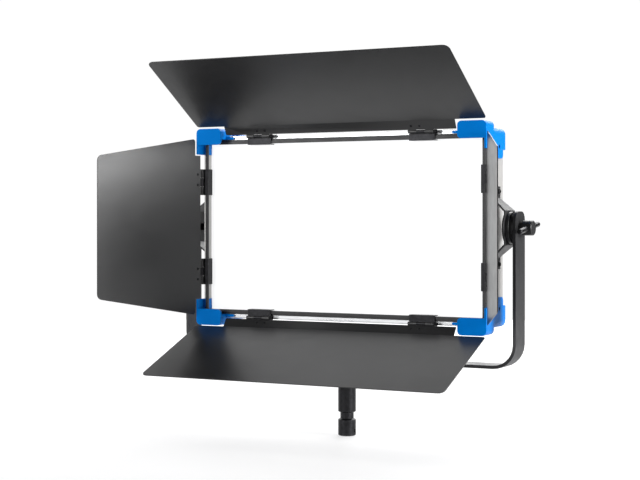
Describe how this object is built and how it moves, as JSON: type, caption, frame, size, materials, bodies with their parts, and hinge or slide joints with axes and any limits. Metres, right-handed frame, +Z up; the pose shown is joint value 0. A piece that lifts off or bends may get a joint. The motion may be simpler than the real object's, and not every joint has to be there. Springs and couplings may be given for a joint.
{
  "type": "led panel light",
  "caption": "Rectangular LED panel light with hinged barn doors, corner holders and a tilting U yoke on a spigot.",
  "frame": {"origin": "centre of the spigot's flat lower end, straight below the tilt axis", "axes": "+Z up along the spigot, +X to the right as seen from the front, the light shines along -Y at rest"},
  "size_m": [0.6562, 0.2956, 0.5795],
  "materials": {
    "black_powder_coat": "satin black powder coat",
    "black_matt_sheet": "matt black painted aluminium sheet",
    "blue_nylon": "moulded blue nylon",
    "anodised_aluminium": "satin silver anodised",
    "blackened_steel": "blackened steel",
    "black_rubber": "matt",
    "black_abs": "fine texture",
    "opal_acrylic": "opal white, satin",
    "white_reflector": "matt white",
    "white_led_board": "white solder mask",
    "green_circuit_board": "green solder mask",
    "display_glass": "polished dark window",
    "black_anodised_aluminium": "black anodised"
  },
  "bodies": {
    "yoke": {"yoke_bar": "black_powder_coat", "spigot": "blackened_steel", "spigot_bolt": "blackened_steel", "friction_pad_left": "black_rubber", "friction_pad_right": "black_rubber", "pivot_bolt_left": "blackened_steel"},
    "head": {"barndoor_frame": "black_powder_coat", "bracket_left": "black_powder_coat", "bracket_right": "black_powder_coat", "rear_box": "black_powder_coat", "corner_top_left": "blue_nylon", "corner_top_right": "blue_nylon", "corner_bottom_left": "blue_nylon", "corner_bottom_right": "blue_nylon", "rail_top": "anodised_aluminium", "rail_bottom": "anodised_aluminium", "rail_left": "anodised_aluminium", "rail_right": "anodised_aluminium", "power_module": "anodised_aluminium", "data_socket_in": "blackened_steel", "data_socket_out": "blackened_steel", "hinge_clip_top_a": "blackened_steel", "hinge_clip_top_b": "blackened_steel", "hinge_clip_bottom_a": "blackened_steel", "hinge_clip_bottom_b": "blackened_steel", "hinge_clip_left_a": "blackened_steel", "hinge_clip_left_b": "blackened_steel", "hinge_clip_right_a": "blackened_steel", "hinge_clip_right_b": "blackened_steel", "pivot_disc_left": "black_abs", "pivot_disc_right": "black_abs", "control_plate": "black_abs", "power_inlet": "black_abs", "diffuser": "opal_acrylic", "light_chamber": "white_reflector", "led_board": "white_led_board", "driver_board": "green_circuit_board", "display_window": "display_glass", "heat_sink": "black_anodised_aluminium"},
    "tilt_lock": {"tilt_lock_hub": "black_abs", "tilt_lock_bar": "blackened_steel"},
    "top_leaf": {"leaf_top": "black_matt_sheet"},
    "bottom_leaf": {"leaf_bottom": "black_matt_sheet"},
    "left_leaf": {"leaf_left": "black_matt_sheet"},
    "right_leaf": {"leaf_right": "black_matt_sheet"},
    "dimmer": {"knob_dimmer": "black_abs"},
    "colour_knob": {"knob_colour": "black_abs"},
    "menu_knob": {"knob_menu": "black_abs"},
    "mode_key": {"key_mode": "black_rubber"},
    "back_key": {"key_back": "black_rubber"},
    "link_key": {"key_link": "black_rubber"},
    "rocker": {"power_switch": "black_abs"}
  },
  "joints": [
    {"name": "head_tilt", "type": "hinge", "parent": "yoke", "child": "head", "pos_m": [0, 0, 0.326], "axis": [1, 0, 0], "range_deg": [-90, 10]},
    {"name": "tilt_lock_turn", "type": "hinge", "parent": "yoke", "child": "tilt_lock", "pos_m": [0.2863, 0, 0.326], "axis": [1, 0, 0], "continuous": true},
    {"name": "top_leaf_hinge", "type": "hinge", "parent": "head", "child": "top_leaf", "pos_m": [0, -0.0341, 0.4705], "axis": [1, 0, 0], "range_deg": [-38, 42]},
    {"name": "bottom_leaf_hinge", "type": "hinge", "parent": "head", "child": "bottom_leaf", "pos_m": [0, -0.0341, 0.1815], "axis": [-1, 0, 0], "range_deg": [-23, 32]},
    {"name": "left_leaf_hinge", "type": "hinge", "parent": "head", "child": "left_leaf", "pos_m": [-0.2462, -0.0341, 0.326], "axis": [0, 0, 1], "range_deg": [-35, 34]},
    {"name": "right_leaf_hinge", "type": "hinge", "parent": "head", "child": "right_leaf", "pos_m": [0.2462, -0.0341, 0.326], "axis": [0, 0, -1], "range_deg": [-35, 34]},
    {"name": "dimmer_turn", "type": "hinge", "parent": "head", "child": "dimmer", "pos_m": [-0.066, 0.0708, 0.318], "axis": [0, 1, 0], "continuous": true},
    {"name": "colour_turn", "type": "hinge", "parent": "head", "child": "colour_knob", "pos_m": [-0.022, 0.0708, 0.318], "axis": [0, 1, 0], "continuous": true},
    {"name": "menu_turn", "type": "hinge", "parent": "head", "child": "menu_knob", "pos_m": [0.022, 0.0708, 0.318], "axis": [0, 1, 0], "continuous": true},
    {"name": "mode_press", "type": "slide", "parent": "head", "child": "mode_key", "axis": [0, -1, 0], "range_m": [0, 0.0015], "stiffness_N_per_m": 300},
    {"name": "back_press", "type": "slide", "parent": "head", "child": "back_key", "axis": [0, -1, 0], "range_m": [0, 0.0015], "stiffness_N_per_m": 300},
    {"name": "link_press", "type": "slide", "parent": "head", "child": "link_key", "axis": [0, -1, 0], "range_m": [0, 0.0015], "stiffness_N_per_m": 300},
    {"name": "rocker_tip", "type": "hinge", "parent": "head", "child": "rocker", "pos_m": [0.075, 0.0692, 0.364], "axis": [-1, 0, 0], "range_deg": [0, 8]}
  ]
}
